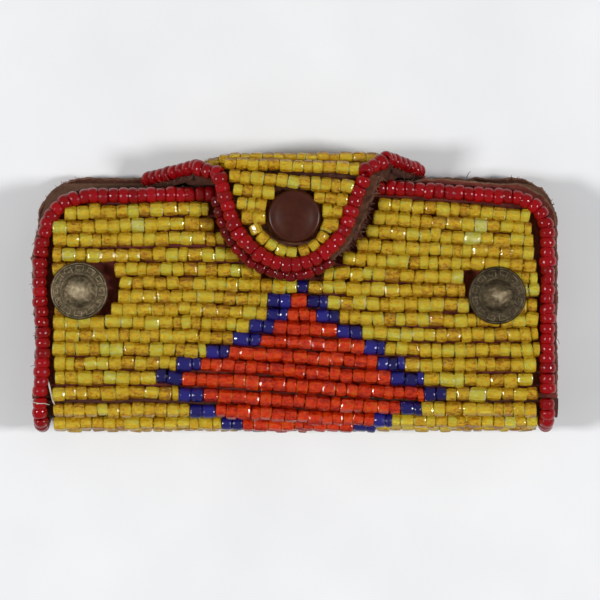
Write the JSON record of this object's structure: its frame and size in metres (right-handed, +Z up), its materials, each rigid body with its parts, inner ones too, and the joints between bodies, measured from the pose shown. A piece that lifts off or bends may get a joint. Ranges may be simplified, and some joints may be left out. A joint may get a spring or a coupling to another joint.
{
  "type": "beaded key case",
  "caption": "Folded leather key case sewn with rows of glass seed beads; a tab over the top edge snaps on the front, with swivelling hooks inside.",
  "frame": {"origin": "centre of the closed case's footprint, on the surface it lies on", "axes": "X along the fold, Y from the fold to the strap, Z up out of the front panel"},
  "size_m": [0.1028, 0.0558, 0.0206],
  "materials": {
    "yellow_beads": "gloss",
    "orange_beads": "gloss",
    "blue_beads": "gloss",
    "red_beads": "gloss",
    "dark_leather": "suede",
    "reddish_leather": "suede",
    "lining_leather": "smooth",
    "antique_brass": "antiqued",
    "nickel_steel": "satin",
    "spring_steel": "satin",
    "dark_enamel": "satin"
  },
  "bodies": {
    "back": {"back_leather": "dark_leather", "back_lining": "lining_leather", "back_rows": "yellow_beads", "back_edging": "red_beads", "fold_leather": "dark_leather", "fold_lining": "lining_leather", "fold_rows_yellow": "yellow_beads", "fold_rows_orange": "orange_beads", "fold_rows_blue": "blue_beads", "fold_edging": "red_beads"},
    "front": {"front_leather": "reddish_leather", "front_lining": "lining_leather", "front_rows_yellow": "yellow_beads", "front_rows_orange": "orange_beads", "front_rows_blue": "blue_beads", "front_edging": "red_beads", "snap_stud": "antique_brass", "left_concho": "antique_brass", "right_concho": "antique_brass", "left_burr": "nickel_steel", "right_burr": "nickel_steel", "key_plate": "nickel_steel", "hook_rivet_1": "antique_brass", "hook_rivet_2": "antique_brass", "hook_rivet_3": "antique_brass", "hook_rivet_4": "antique_brass", "hook_rivet_5": "antique_brass", "hook_rivet_6": "antique_brass"},
    "strap_low": {"strap_low_leather": "dark_leather", "strap_low_rows": "yellow_beads", "strap_low_edging": "red_beads"},
    "strap_spine": {"strap_spine_leather": "dark_leather", "strap_spine_rows": "yellow_beads", "strap_spine_edging": "red_beads"},
    "strap_high": {"strap_high_leather": "dark_leather", "strap_high_rows": "yellow_beads", "strap_high_edging": "red_beads"},
    "tab": {"tab_leather": "dark_leather", "tab_lining": "lining_leather", "tab_rows": "yellow_beads", "tab_edging": "red_beads", "snap_cap": "dark_enamel", "snap_socket": "antique_brass"},
    "hook_1": {"hook_1": "nickel_steel"},
    "gate_1": {"gate_1": "spring_steel"},
    "hook_2": {"hook_2": "nickel_steel"},
    "gate_2": {"gate_2": "spring_steel"},
    "hook_3": {"hook_3": "nickel_steel"},
    "gate_3": {"gate_3": "spring_steel"},
    "hook_4": {"hook_4": "nickel_steel"},
    "gate_4": {"gate_4": "spring_steel"},
    "hook_5": {"hook_5": "nickel_steel"},
    "gate_5": {"gate_5": "spring_steel"},
    "hook_6": {"hook_6": "nickel_steel"},
    "gate_6": {"gate_6": "spring_steel"}
  },
  "joints": [
    {"name": "case_open", "type": "hinge", "parent": "back", "child": "strap_low", "pos_m": [0, 0.0229, 0.003], "axis": [-1, 0, 0], "range_deg": [0, 45]},
    {"name": "strap_rise", "type": "hinge", "parent": "strap_low", "child": "strap_spine", "pos_m": [0, 0.0249, 0.005], "axis": [-1, 0, 0], "range_deg": [0, 45]},
    {"name": "strap_turn", "type": "hinge", "parent": "strap_spine", "child": "strap_high", "pos_m": [0, 0.0249, 0.0156], "axis": [-1, 0, 0], "range_deg": [0, 45]},
    {"name": "tab_turn", "type": "hinge", "parent": "strap_high", "child": "tab", "pos_m": [0, 0.0229, 0.0176], "axis": [-1, 0, 0], "range_deg": [0, 45]},
    {"name": "front_gape", "type": "hinge", "parent": "back", "child": "front", "pos_m": [0, -0.0205, 0.0126], "axis": [1, 0, 0], "range_deg": [0, 11.25]},
    {"name": "hook_1_swivel", "type": "hinge", "parent": "front", "child": "hook_1", "pos_m": [-0.03285, 0, 0.0089], "axis": [0, 0, 1], "range_deg": [-14, 14]},
    {"name": "hook_1_gate", "type": "hinge", "parent": "hook_1", "child": "gate_1", "pos_m": [-0.02965, -0.0129, 0.0089], "axis": [0, 0, 1], "range_deg": [0, 14], "stiffness_Nm_per_rad": 0.0015},
    {"name": "hook_2_swivel", "type": "hinge", "parent": "front", "child": "hook_2", "pos_m": [-0.02035, 0, 0.0089], "axis": [0, 0, 1], "range_deg": [-14, 14]},
    {"name": "hook_2_gate", "type": "hinge", "parent": "hook_2", "child": "gate_2", "pos_m": [-0.01715, -0.0129, 0.0089], "axis": [0, 0, 1], "range_deg": [0, 14], "stiffness_Nm_per_rad": 0.0015},
    {"name": "hook_3_swivel", "type": "hinge", "parent": "front", "child": "hook_3", "pos_m": [-0.00785, 0, 0.0089], "axis": [0, 0, 1], "range_deg": [-14, 14]},
    {"name": "hook_3_gate", "type": "hinge", "parent": "hook_3", "child": "gate_3", "pos_m": [-0.00465, -0.0129, 0.0089], "axis": [0, 0, 1], "range_deg": [0, 14], "stiffness_Nm_per_rad": 0.0015},
    {"name": "hook_4_swivel", "type": "hinge", "parent": "front", "child": "hook_4", "pos_m": [0.00465, 0, 0.0089], "axis": [0, 0, 1], "range_deg": [-14, 14]},
    {"name": "hook_4_gate", "type": "hinge", "parent": "hook_4", "child": "gate_4", "pos_m": [0.00785, -0.0129, 0.0089], "axis": [0, 0, 1], "range_deg": [0, 14], "stiffness_Nm_per_rad": 0.0015},
    {"name": "hook_5_swivel", "type": "hinge", "parent": "front", "child": "hook_5", "pos_m": [0.01715, 0, 0.0089], "axis": [0, 0, 1], "range_deg": [-14, 14]},
    {"name": "hook_5_gate", "type": "hinge", "parent": "hook_5", "child": "gate_5", "pos_m": [0.02035, -0.0129, 0.0089], "axis": [0, 0, 1], "range_deg": [0, 14], "stiffness_Nm_per_rad": 0.0015},
    {"name": "hook_6_swivel", "type": "hinge", "parent": "front", "child": "hook_6", "pos_m": [0.02965, 0, 0.0089], "axis": [0, 0, 1], "range_deg": [-14, 14]},
    {"name": "hook_6_gate", "type": "hinge", "parent": "hook_6", "child": "gate_6", "pos_m": [0.03285, -0.0129, 0.0089], "axis": [0, 0, 1], "range_deg": [0, 14], "stiffness_Nm_per_rad": 0.0015}
  ],
  "couplings": [
    {"joint": "strap_rise", "follows": "case_open", "ratio": 1},
    {"joint": "strap_turn", "follows": "case_open", "ratio": 1},
    {"joint": "tab_turn", "follows": "case_open", "ratio": 1},
    {"joint": "front_gape", "follows": "case_open", "ratio": 0.25}
  ]
}
